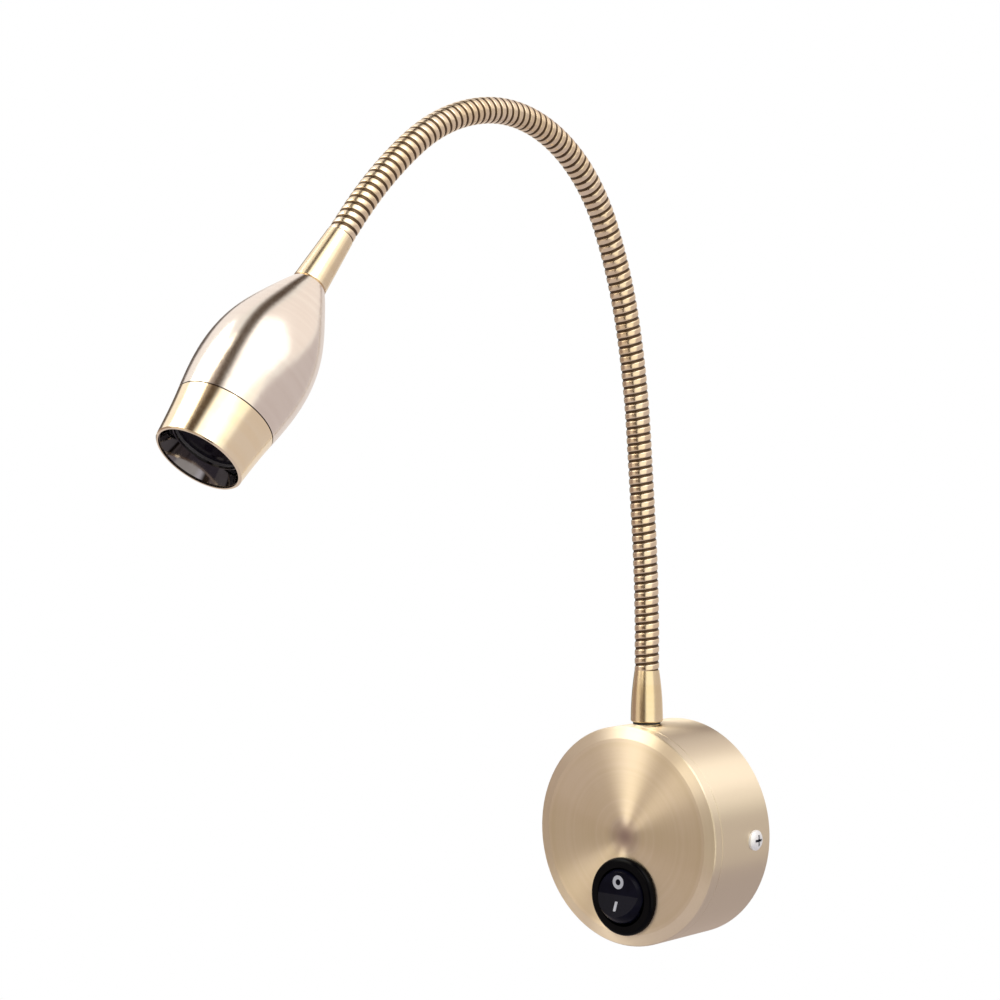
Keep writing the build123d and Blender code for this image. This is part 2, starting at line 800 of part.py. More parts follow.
def rib_circles(start, end, is_first, is_last):
    """The four circles of one rib, as (plane, radius), between two places a pitch apart."""
    first = (joint_tip, joint_tip_r) if is_first else (groove_half, groove_r)
    final = (joint_tip, joint_tip_r) if is_last else (groove_half, groove_r)
    return [
        (across(start, first[0]), first[1]),
        (across(start, groove_half + flank), crest_r),
        (across(end, -groove_half - flank), crest_r),
        (across(end, -final[0]), final[1]),
    ]


done = 0
for number, turns in enumerate(lengths):
    starts = rib_starts[done : done + len(turns) + 1]
    done += len(turns)
    if number > 0:
        joint_places.append(starts[0])
    name = "gooseneck_%d" % (number + 1)
    with BuildPart() as hose:
        if number == 0:
            with BuildSketch(across(starts[0])):
                Circle(groove_r)
        for rib in range(len(turns)):
            opens = rib == 0 and number > 0
            closes = rib == len(turns) - 1 and number < last
            for plane, radius in rib_circles(starts[rib], starts[rib + 1], opens, closes):
                with BuildSketch(plane):
                    Circle(radius)
        if number == last:
            with BuildSketch(across(starts[-1])):
                Circle(groove_r)
        loft(ruled=True)
        for rib, place in enumerate(starts):
            overshoot = -1 if rib == 0 else 1 if rib == len(turns) else 0
            with BuildSketch(across(place, overshoot)):
                Circle(bore_r)
        loft(ruled=True, mode=Mode.SUBTRACT)
    keep(hose.part, name)
    # the pair of lead wires in this length
    with BuildPart() as leads:
        for side in (-1, 1):
            for rib, place in enumerate(starts):
                setback = 0.0
                if rib == 0 and number > 0:
                    setback = wire_setback
                if rib == len(turns) and number < last:
                    setback = -wire_setback
                with BuildSketch(across(place, setback)):
                    with Locations((side * wire_spread, 0)):
                        Circle(wire_r)
            loft(ruled=True)
    keep(leads.part, "lead_wires_%d" % (number + 1))
print("gooseneck length", round(hose_length, 1), "mm; joints at")
for out, up, heading in joint_places:
    print("  y %.3f z %.3f heading %.3f" % (-out, up, heading * 180 / pi))

# ---- head: turned pieces on the line that the gooseneck ends on ----
end_out, end_up, end_heading = hose_end
head_dir = (0, -sin(end_heading), cos(end_heading))
head_section = Plane(origin=(0, -end_out, end_up), x_dir=head_dir, z_dir=(-1, 0, 0))
head_axis = Axis(head_section.origin, head_section.x_dir)
print("head starts at y %.3f z %.3f heading %.3f" % (-end_out, end_up, end_heading * 180 / pi))


def square_to_head(along):
    """The plane square to the head's line, at a distance from the gooseneck's end, facing the mouth."""
    return Plane(origin=head_section.from_local_coords((along, 0, 0)), x_dir=(1, 0, 0), z_dir=head_dir)


keep(
    turned(
        head_section,
        head_axis,
        [
            (0, fitting_r + thread_clearance),
            (0, neck_r),
            (neck_length, neck_end_r),
            (neck_length, head_thread_r + thread_clearance),
            (neck_step, head_thread_r + thread_clearance),
            (neck_step, fitting_r + thread_clearance),
        ],
    ),
    "neck_sleeve",
)

head_floor = neck_length + head_rear_wall
head_nut_from = head_floor + washer_t
fitting_end = head_nut_from + head_nut_t + thread_past_nut
keep(
    turned(
        head_section,
        head_axis,
        [
            (0, bore_r),
            (0, fitting_r),
            (neck_step + lip, fitting_r),
            (neck_step + lip, head_thread_r),
            (fitting_end, head_thread_r),
            (fitting_end, bore_r),
        ],
    ),
    "upper_fitting",
)
with BuildPart() as head_washer:
    with BuildSketch(square_to_head(head_floor)):
        Circle(head_washer_r)
        Circle(head_thread_r + 2 * thread_clearance, mode=Mode.SUBTRACT)
    extrude(amount=washer_t)
keep(head_washer.part, "head_washer")
keep(
    hex_nut(square_to_head(head_nut_from), head_nut_flats, head_thread_r + thread_clearance, head_nut_t), "head_nut"
)

# Shell: a thin turned bell, solid behind, with a bore that the heat sink and the front ring go into.
seam = neck_length + shell_length
sink_back = neck_length + head_bore_from
with BuildPart() as head_shell:
    with BuildSketch(head_section):
        with BuildLine():
            Line((neck_length, head_thread_r + thread_clearance), (neck_length, shoulder_r))
            Spline(
                (neck_length, shoulder_r),
                (neck_length + flank_at, flank_r),
                (neck_length + swell_at, swell_r),
                (neck_length + widest_at, widest_r),
                (seam, seam_r),
                tangents=((1, shoulder_slope), (1, seam_slope)),
            )
            Polyline(
                (seam, seam_r),
                (seam, head_bore_r),
                (sink_back, head_bore_r),
                (sink_back, step_r),
                (head_floor, head_floor_r),
                (head_floor, head_thread_r + thread_clearance),
                (neck_length, head_thread_r + thread_clearance),
            )
        make_face()
    revolve(axis=head_axis)
keep(head_shell.part, "head_shell")

# Front ring: screwed into the shell, with a lip that holds the baffle.
mouth = seam + ring_length
with BuildPart() as front_ring:
    with BuildSketch(head_section):
        with BuildLine():
            Polyline(
                (mouth - ring_lip_t, ring_bore_r),
                (seam - ring_thread_length, ring_bore_r),
                (seam - ring_thread_length, head_bore_r - thread_clearance),
                (seam, head_bore_r - thread_clearance),
                (seam, seam_r - seam_gap_depth),
                (seam + seam_gap, seam_r - seam_gap_depth),
                (seam + seam_gap, seam_r + seam_slope * seam_gap),
            )
            Spline(
                (seam + seam_gap, seam_r + seam_slope * seam_gap),
                (mouth - edge_round, mouth_r),
                tangents=((1, seam_slope), (1, mouth_slope)),
            )
            Polyline(
                (mouth - edge_round, mouth_r),
                (mouth, mouth_r - edge_round),
                (mouth, ring_lip_r),
                (mouth - ring_lip_t, ring_lip_r),
                (mouth - ring_lip_t, ring_bore_r),
            )
        make_face()
    revolve(axis=head_axis)
keep(front_ring.part, "front_ring")

# Heat sink with turned fins, a hole for the leads and two tapped holes for the board's screws.
sink_r = head_bore_r - sink_clearance
sink_front = sink_back + sink_length
star_front = sink_front + star_t
with BuildPart() as heat_sink:
    with BuildSketch(square_to_head(sink_back)):
        Circle(sink_r)
    extrude(amount=sink_length)
    for groove in range(fin_count):
        with BuildSketch(square_to_head(sink_back + fin_first + groove * fin_pitch)):
            Circle(sink_r + lip)
            Circle(sink_r - fin_groove_depth, mode=Mode.SUBTRACT)
        extrude(amount=fin_groove, mode=Mode.SUBTRACT)
    with BuildSketch(square_to_head(sink_back - lip)):
        with Locations((0, wire_hole_y)):
            Circle(wire_hole_r)
    extrude(amount=sink_length + 2 * lip, mode=Mode.SUBTRACT)
    with BuildSketch(square_to_head(sink_front + lip)):
        with Locations((-star_screw_x, 0), (star_screw_x, 0)):
            Circle(star_screw_r + thread_clearance)
    extrude(amount=-star_screw_length - lip, mode=Mode.SUBTRACT)
keep(heat_sink.part, "heat_sink")

with BuildPart() as led_star:
    with BuildSketch(square_to_head(sink_front)):
        Circle(star_r)
        with Locations((-star_screw_x, 0), (star_screw_x, 0)):
            Circle(star_screw_r + 2 * thread_clearance, mode=Mode.SUBTRACT)
        with Locations((0, wire_hole_y)):
            Circle(wire_hole_r, mode=Mode.SUBTRACT)
    extrude(amount=star_t)
keep(led_star.part, "led_star")

with BuildPart() as led_emitter:
    with BuildSketch(square_to_head(star_front)):
        Rectangle(emitter_side, emitter_side)
    extrude(amount=emitter_base_t)
    with Locations(square_to_head(star_front + emitter_base_t)):
        Sphere(dome_r, arc_size1=0)
keep(led_emitter.part, "led_emitter")

board_screw_places = []
for side in (-1, 1):
    place = square_to_head(star_front)
    board_screw_places.append(
        Plane(origin=place.from_local_coords((side * star_screw_x, 0, 0)), x_dir=place.x_dir, z_dir=place.z_dir)
    )
board_screw_length = star_t + star_screw_length - 2 * lip
keep(pan_screws(board_screw_places, small_head_r, small_head_h, star_screw_r, board_screw_length), "star_screws")

# Lens, the holder around it, and the gasket between the lens and the baffle.
lens_back = star_front + lens_back_gap
lens_front = lens_back + lens_length
flange_back = lens_front - lens_flange_t
seat_r = lens_r - holder_wall / 2
cone_r = seat_r - 2 * thread_clearance
keep(
    turned(
        head_section,
        head_axis,
        [
            (lens_back, lens_cavity_r),
            (lens_back, lens_rear_r),
            (flange_back, cone_r),
            (flange_back, lens_r),
            (lens_front, lens_r),
            (lens_front, 0),
            (lens_back + lens_cavity_depth, 0),
            (lens_back + lens_cavity_depth, lens_cavity_r),
        ],
    ),
    "lens",
)
gasket_front = lens_front + gasket_t
holder_inner_r = holder_r - holder_wall
keep(
    turned(
        head_section,
        head_axis,
        [
            (sink_front, holder_inner_r),
            (sink_front, holder_r),
            (gasket_front, holder_r),
            (gasket_front, holder_inner_r),
            (flange_back, holder_inner_r),
            (flange_back, seat_r),
            (flange_back - lens_seat_t, seat_r),
            (flange_back - lens_seat_t, holder_inner_r),
        ],
    ),
    "lens_holder",
)
with BuildPart() as lens_gasket:
    with BuildSketch(square_to_head(lens_front)):
        Circle(lens_r)
        Circle(lens_r - gasket_width, mode=Mode.SUBTRACT)
    extrude(amount=gasket_t)
keep(lens_gasket.part, "lens_gasket")

# Baffle: the black cone inside the mouth, with the thin ledge round the lens.
ledge_front = gasket_front + ledge_t
baffle_front = mouth - ring_lip_t - thread_clearance
keep(
    turned(
        head_section,
        head_axis,
        [
            (gasket_front, ledge_r),
            (gasket_front, ring_bore_r - 2 * thread_clearance),
            (ledge_front, ring_bore_r - 2 * thread_clearance),
            (ledge_front, baffle_foot_r + baffle_t),
            (baffle_front, baffle_mouth_r + baffle_t),
            (baffle_front, baffle_mouth_r),
            (ledge_front, baffle_foot_r),
            (ledge_front, ledge_r),
        ],
    ),
    "baffle",
)

# ---- wires in the base and in the head ----
block_edge = terminal_x + terminal_width / 2
live_x = (block_edge + driver_left) / 2
tab_wire_out = housing_bottom - terminal_tab_l / 2
tab_edge = terminal_tab_w / 2
keep(
    round_wire(
        [
            (block_edge - 2 * wire_into, -wire_hole_out, live_z),
            (live_x, -wire_hole_out, live_z),
            (live_x, -tab_wire_out, driver_bottom - live_wire_run),
            (-tab_edge - live_wire_run, -tab_wire_out, switch_z),
            (-tab_edge, -tab_wire_out, switch_z),
        ],
        live_x - block_edge,
        mains_wire_r,
    ),
    "live_wire",
)
upper_tab_z = switch_z + terminal_tab_step
keep(
    round_wire(
        [
            (tab_edge, -switched_entry_out, upper_tab_z),
            (switched_entry_x, -switched_entry_out, upper_tab_z),
            (switched_entry_x, -switched_entry_out, driver_bottom + wire_into),
        ],
        mains_wire_bend,
        mains_wire_r,
    ),
    "switched_wire",
)
with BuildPart() as neutral_wire:
    with BuildSketch(
        Plane(origin=(block_edge - 2 * wire_into, -wire_hole_out, neutral_z), x_dir=(0, 0, 1), z_dir=(1, 0, 0))
    ):
        Circle(mains_wire_r)
    extrude(amount=driver_left - block_edge + 3 * wire_into)
keep(neutral_wire.part, "neutral_wire")

with BuildPart() as output_wires:
    for side in (-1, 1):
        start_z = driver_z + side * output_pitch / 2
        with BuildLine() as run:
            FilletPolyline(
                (output_entry_x, -case_front + wire_into, start_z),
                (output_entry_x, -case_front - output_clear, start_z),
                (side * wire_spread, -hose_back, start_z + output_entry_x / 2),
                (side * wire_spread, -hose_back, collar_top),
                radius=wire_bend_r,
            )
        with BuildSketch(Plane(origin=run.line @ 0, z_dir=run.line % 0)):
            Circle(wire_r)
        sweep()
keep(output_wires.part, "output_wires")

with BuildPart() as head_wires:
    for side in (-1, 1):
        with BuildLine(head_section.offset(-side * wire_spread)) as run:
            FilletPolyline(
                (0, 0),
                (fitting_end + wire_into, 0),
                (sink_back - 2 * wire_into, wire_hole_y),
                (star_front + wire_into, wire_hole_y),
                radius=wire_bend_r,
            )
        with BuildSketch(Plane(origin=run.line @ 0, z_dir=run.line % 0)):
            Circle(wire_r)
        sweep()
keep(head_wires.part, "head_wires")
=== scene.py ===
from math import cos, floor, pi, radians, sin

import bpy
from mathutils import Matrix, Vector


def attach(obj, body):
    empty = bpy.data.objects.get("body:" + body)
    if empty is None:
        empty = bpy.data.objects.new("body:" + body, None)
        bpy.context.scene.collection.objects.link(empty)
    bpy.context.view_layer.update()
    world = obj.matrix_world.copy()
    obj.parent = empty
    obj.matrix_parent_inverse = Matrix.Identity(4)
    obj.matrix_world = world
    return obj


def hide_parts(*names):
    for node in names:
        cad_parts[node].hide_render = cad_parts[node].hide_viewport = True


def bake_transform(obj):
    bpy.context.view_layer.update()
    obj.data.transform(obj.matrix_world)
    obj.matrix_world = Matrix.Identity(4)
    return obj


# Bedside wall reading lamp: turned base with a rocker switch, ribbed gooseneck, small spot head.
# Metres. +Z up, the wall is the plane Y = 0, the lamp stands out towards -Y.

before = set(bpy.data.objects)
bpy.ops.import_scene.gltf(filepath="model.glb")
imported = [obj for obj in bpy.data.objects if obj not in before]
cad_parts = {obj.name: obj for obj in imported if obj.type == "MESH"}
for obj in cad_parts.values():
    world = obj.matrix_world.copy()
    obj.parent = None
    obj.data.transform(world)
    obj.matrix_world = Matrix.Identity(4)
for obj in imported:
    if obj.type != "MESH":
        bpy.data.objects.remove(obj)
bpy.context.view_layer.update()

# ---------------------------------------------------------------- sizes and places of the CAD model
FORWARD = Vector((0.0, 1.0, 0.0))
UP = Vector((0.0, 0.0, 1.0))

# Base: it is turned about the Y axis. Radii of its bevel, where a highlight is painted, and of its side
# wall.
BEVEL_FROM_R = 0.0288
BEVEL_TO_R = 0.0292
SIDE_FROM_R = 0.0321
SIDE_TO_R = 0.0324
# Radius of the dark patch painted round the front's centre: a painted reflection.
DARK_CENTRE_REFLECTION_R = 0.0075
ROUND_GRAIN_R = 0.0005
FULL_GRAIN_R = 0.0045

# Gooseneck: two short straight ends, and between them one bend per turn, in degrees.
HOSE_START = Vector((0.0, -0.0174, 0.0485))
RIB = 0.00243
END_RIBS = 3
BEND_RIBS = 13
TURNS = (5.0, 0.5, 8.0, 14.0, 33.5, 35.0, 28.5, 14.0)
CREST_R = 0.00365
GROOVE_R = 0.00338
BORE_R = 0.0017
BAND_HALF = 0.36
BAND_POWER = 4.0

# Head: it is turned about its own axis, from the gooseneck's end on. Its ring is screwed on at the seam.
HEAD_AXIS = Vector((0.0, -0.66262, -0.74896))
HOSE_END = Vector((0.0, -0.147885, 0.170791))
# Where the seam lies along the head's axis, and inside which radius; shade is painted dark there.
SEAM_FROM = 0.0610
SEAM_TO = 0.06185
SEAM_R = 0.0133

# Side screws: their cross recess, which is painted dark as shade.
SIDE_SCREW = (0.0, -0.008, 0.0)
RECESS_TOP = 0.03365
RECESS_R = 0.00175

# Rocker: its face is a shallow V, lowest across the middle. Depths are taken from the pivot.
PIVOT = Vector((0.0, -0.0268, -0.0177))
ROCKER_TILT = radians(11.0)
FACE_LOW = 0.0044
FACE_HIGH = 0.0059
ROCKER_R = 0.0082

# Marks on the rocker: heights above its middle, half sizes, and how far the paint stands out.
OFF_V = 0.0037
OFF_OUTER = 0.0020
OFF_INNER = 0.0009
ON_V = -0.0034
ON_HALF_X = 0.00048
ON_HALF_V = 0.00145
PAINT_HEIGHT = 0.00006
PAINT_SHOULDER = 0.6 * PAINT_HEIGHT
PAINT_ROOT = -0.00005
PAINT_ROUND = 0.0001

# Mesh steps.
STEPS_PER_RIB = 16
HOSE_SIDES = 44
RING_SIDES = 64
BAR_SIDES = 32


# ---------------------------------------------------------------- node helpers
class Tree:
    """A short way to write node trees."""

    def __init__(self, tree):
        self.tree = tree

    def node(self, kind, **settings):
        made = self.tree.nodes.new(kind)
        for name, value in settings.items():
            setattr(made, name, value)
        return made

    def link(self, source, target):
        self.tree.links.new(source, target)

    def put(self, socket, value):
        if isinstance(value, bpy.types.NodeSocket):
            self.link(value, socket)
        elif value is not None:
            socket.default_value = value

    def place(self):
        return self.node("ShaderNodeTexCoord").outputs["Object"]

    def math(self, operation, a, b=None, c=None):
        made = self.node("ShaderNodeMath", operation=operation)
        self.put(made.inputs[0], a)
        self.put(made.inputs[1], b)
        self.put(made.inputs[2], c)
        return made.outputs[0]

    def vector(self, operation, a, b=None):
        made = self.node("ShaderNodeVectorMath", operation=operation)
        self.put(made.inputs[0], a)
        self.put(made.inputs[1], b)
        return made.outputs["Value" if operation in ("DOT_PRODUCT", "LENGTH") else "Vector"]

    def scale(self, a, factor):
        made = self.node("ShaderNodeVectorMath", operation="SCALE")
        self.put(made.inputs[0], a)
        self.put(made.inputs["Scale"], factor)
        return made.outputs["Vector"]

    def span(self, value, low, high, to_low=0.0, to_high=1.0):
        """Maps low..high smoothly onto to_low..to_high."""
        made = self.node("ShaderNodeMapRange", interpolation_type="SMOOTHSTEP")
        self.put(made.inputs["Value"], value)
        made.inputs["From Min"].default_value = low
        made.inputs["From Max"].default_value = high
        made.inputs["To Min"].default_value = to_low
        made.inputs["To Max"].default_value = to_high
        return made.outputs["Result"]

    def mix(self, factor, a, b):
        made = self.node("ShaderNodeMix", data_type="RGBA")
        self.put(made.inputs[0], factor)
        self.put(made.inputs[6], a if isinstance(a, bpy.types.NodeSocket) else (*a, 1.0))
        self.put(made.inputs[7], b if isinstance(b, bpy.types.NodeSocket) else (*b, 1.0))
        return made.outputs[2]

    def noise(self, where, scale, detail=3.0, roughness=0.55):
        made = self.node("ShaderNodeTexNoise", noise_dimensions="3D")
        self.put(made.inputs["Vector"], where)
        made.inputs["Scale"].default_value = scale
        made.inputs["Detail"].default_value = detail
        made.inputs["Roughness"].default_value = roughness
        return made.outputs["Fac"]

    def noise_line(self, along, detail, roughness):
        made = self.node("ShaderNodeTexNoise", noise_dimensions="1D")
        self.put(made.inputs["W"], along)
        made.inputs["Scale"].default_value = 1.0
        made.inputs["Detail"].default_value = detail
        made.inputs["Roughness"].default_value = roughness
        return made.outputs["Fac"]

    def bump(self, height, strength, distance=0.00002):
        made = self.node("ShaderNodeBump")
        made.inputs["Strength"].default_value = strength
        made.inputs["Distance"].default_value = distance
        self.put(made.inputs["Height"], height)
        return made.outputs["Normal"]


def material(name):
    made = bpy.data.materials.new(name)
    made.use_nodes = True
    return made, Tree(made.node_tree), made.node_tree.nodes["Principled BSDF"]


# ---------------------------------------------------------------- kinds of material
def base_painted_light_and_side_tone(t, colour, height, radius):
    """A painted dark reflection round the centre, a painted highlight on the bevel, and a duller tone on the
    side wall.
    """
    # Painted reflection: the front is painted darker towards its centre.
    colour = t.mix(t.span(radius, 0.0, DARK_CENTRE_REFLECTION_R, 0.9, 0.0), colour, (0.28, 0.20, 0.19))
    # Painted highlight: a pale band along the bevel.
    colour = t.mix(t.span(radius, BEVEL_FROM_R, BEVEL_TO_R, 0.0, 0.6), colour, (0.93, 0.83, 0.66))
    return t.mix(t.span(radius, SIDE_FROM_R, SIDE_TO_R, 0.0, 0.9), colour, (0.77, 0.67, 0.52))


def seam_painted_shade(t, colour, height, radius):
    """Painted shade: dark in the seam between the head and its ring."""
    gap = t.math("MULTIPLY", t.math("GREATER_THAN", height, SEAM_FROM), t.math("LESS_THAN", height, SEAM_TO))
    gap = t.math("MULTIPLY", gap, t.math("LESS_THAN", radius, SEAM_R))
    return t.mix(gap, colour, (0.03, 0.02, 0.015))


def brush(t, shader, radius, amount):
    """Stretches the reflections across grooves that run round the Y axis."""
    t.put(shader.inputs["Anisotropic"], t.span(radius, ROUND_GRAIN_R, FULL_GRAIN_R, 0.0, amount))
    shader.inputs["Anisotropic Rotation"].default_value = 0.25
    ring = t.node("ShaderNodeTangent", direction_type="RADIAL", axis="Y")
    t.put(shader.inputs["Tangent"], ring.outputs["Tangent"])


def turned_metal(name, tone, worn, centre, axis, rough, grooves, depth, painted_light_and_tone=None, brushed=0.0):
    """Lathe-turned metal: fine grooves run round the axis, and tone and gloss drift slowly between them."""
    made, t, shader = material(name)
    place = t.place()
    away = t.vector("SUBTRACT", place, tuple(centre))
    height = t.vector("DOT_PRODUCT", away, tuple(axis))
    radius = t.vector("LENGTH", t.vector("SUBTRACT", away, t.scale(tuple(axis), height)))
    turn = t.math("ADD", height, radius)
    fine = t.noise_line(t.math("MULTIPLY", turn, grooves), 4.0, 0.65)
    wide = t.noise_line(t.math("MULTIPLY", turn, grooves * 0.06), 2.0, 0.5)
    cloud = t.noise(place, 60.0, 3.0, 0.5)
    specks = t.noise(place, 1500.0, 2.0, 0.6)
    drift = t.math("MULTIPLY_ADD", wide, 0.5, t.math("MULTIPLY", cloud, 0.5))
    colour = t.mix(t.span(drift, 0.35, 0.65), tone, worn)
    # Painted light and shade, and other tones, can be laid over the colour here.
    if painted_light_and_tone:
        colour = painted_light_and_tone(t, colour, height, radius)
    t.put(shader.inputs["Base Color"], colour)
    gloss = t.math("MULTIPLY_ADD", fine, 0.6, t.math("MULTIPLY", specks, 0.4))
    t.put(shader.inputs["Roughness"], t.span(gloss, 0.3, 0.7, *rough))
    shader.inputs["Metallic"].default_value = 1.0
    t.put(shader.inputs["Normal"], t.bump(t.math("MULTIPLY_ADD", specks, 0.15, fine), depth))
    if brushed:
        brush(t, shader, radius, brushed)
    return made


def coil_metal(name, tone, worn, groove_shade):
    """Wire wound into the gooseneck, with a high polish on the crests and painted shade in the grooves where
    the turns meet.
    """
    made, t, shader = material(name)
    place = t.place()
    cloud = t.noise(place, 90.0, 3.0, 0.5)
    fine = t.noise(place, 1800.0, 3.0, 0.6)
    crest = t.node("ShaderNodeAttribute", attribute_name="crest").outputs["Fac"]
    unshaded = t.mix(t.span(cloud, 0.35, 0.65), tone, worn)
    unshaded_and_polished = t.span(crest, 0.35, 0.92)
    # Painted shade: the grooves between the turns are painted dark.
    t.put(shader.inputs["Base Color"], t.mix(unshaded_and_polished, groove_shade, unshaded))
    matt = t.span(fine, 0.3, 0.7, 0.37, 0.47)
    t.put(shader.inputs["Roughness"], t.math("MULTIPLY_ADD", unshaded_and_polished, -0.2, matt))
    shader.inputs["Metallic"].default_value = 1.0
    t.put(shader.inputs["Normal"], t.bump(fine, 0.25, 0.00001))
    return made


def plain_metal(name, tone, worn, rough, grain=900.0, depth=0.3):
    """Cast, pressed or drawn metal with a faint cloud of worn tone."""
    made, t, shader = material(name)
    place = t.place()
    cloud = t.noise(place, 140.0, 4.0, 0.6)
    fine = t.noise(place, grain, 4.0, 0.6)
    t.put(shader.inputs["Base Color"], t.mix(t.span(cloud, 0.35, 0.65), tone, worn))
    t.put(shader.inputs["Roughness"], t.span(fine, 0.3, 0.7, *rough))
    shader.inputs["Metallic"].default_value = 1.0
    t.put(shader.inputs["Normal"], t.bump(fine, depth))
    return made


def plastic(name, tone, other, rough=(0.25, 0.4), grain=1600.0, depth=0.35, gloss=0.5):
    """Moulded plastic, rubber, foam or paint with a fine grain."""
    made, t, shader = material(name)
    place = t.place()
    cloud = t.noise(place, 200.0, 3.0, 0.5)
    fine = t.noise(place, grain, 3.0, 0.6)
    t.put(shader.inputs["Base Color"], t.mix(t.span(cloud, 0.35, 0.65), tone, other))
    t.put(shader.inputs["Roughness"], t.span(fine, 0.3, 0.7, *rough))
    shader.inputs["Specular IOR Level"].default_value = gloss
    t.put(shader.inputs["Normal"], t.bump(fine, depth))
    return made


def screw_metal():
    """Satin nickel, with painted shade in its cross recess."""
    made, t, shader = material("screw_nickel")
    place = t.place()
    fine = t.noise(place, 1500.0, 3.0, 0.6)
    out = t.math("ABSOLUTE", t.vector("DOT_PRODUCT", place, (1.0, 0.0, 0.0)))
    aside = t.vector("MULTIPLY", t.vector("SUBTRACT", place, SIDE_SCREW), (0.0, 1.0, 1.0))
    inside = t.math("LESS_THAN", t.vector("LENGTH", aside), RECESS_R)
    recess = t.math("MULTIPLY", t.math("LESS_THAN", out, RECESS_TOP), inside)
    tone = t.mix(t.span(fine, 0.3, 0.7), (0.90, 0.90, 0.92), (0.96, 0.96, 0.97))
    # Painted shade: the recess is painted nearly black.
    t.put(shader.inputs["Base Color"], t.mix(recess, tone, (0.05, 0.05, 0.07)))
    t.put(shader.inputs["Roughness"], t.span(fine, 0.3, 0.7, 0.42, 0.52))
    t.put(shader.inputs["Metallic"], t.span(fine, 0.0, 1.0, 0.45, 0.55))
    t.put(shader.inputs["Normal"], t.bump(fine, 0.2, 0.00001))
    return made


def lens_material():
    """A clear lens, painted nearly black as the shade inside the unlit head: no light is on behind it."""
    made, t, shader = material("lens_clear")
    fine = t.noise(t.place(), 900.0, 3.0, 0.5)
    # Painted shade: the clear lens is given a nearly black colour.
    tone = t.mix(t.span(fine, 0.3, 0.7), (0.004, 0.003, 0.007), (0.008, 0.006, 0.012))
    t.put(shader.inputs["Base Color"], tone)
    t.put(shader.inputs["Roughness"], t.span(fine, 0.3, 0.7, 0.10, 0.22))
    shader.inputs["IOR"].default_value = 1.49
    shader.inputs["Transmission Weight"].default_value = 0.05
    shader.inputs["Specular IOR Level"].default_value = 0.12
    t.put(shader.inputs["Normal"], t.bump(fine, 0.2))
    return made


# ---------------------------------------------------------------- materials of the record's slots
# The last colour is the shade painted into the hose's grooves.
hose_metal = coil_metal("hose_brass", (0.84, 0.68, 0.47), (0.88, 0.74, 0.56), (0.11, 0.07, 0.04))
mark_paint = plastic("mark_paint", (0.50, 0.50, 0.54), (0.42, 0.42, 0.46), (0.35, 0.5), 2600.0, 0.4)

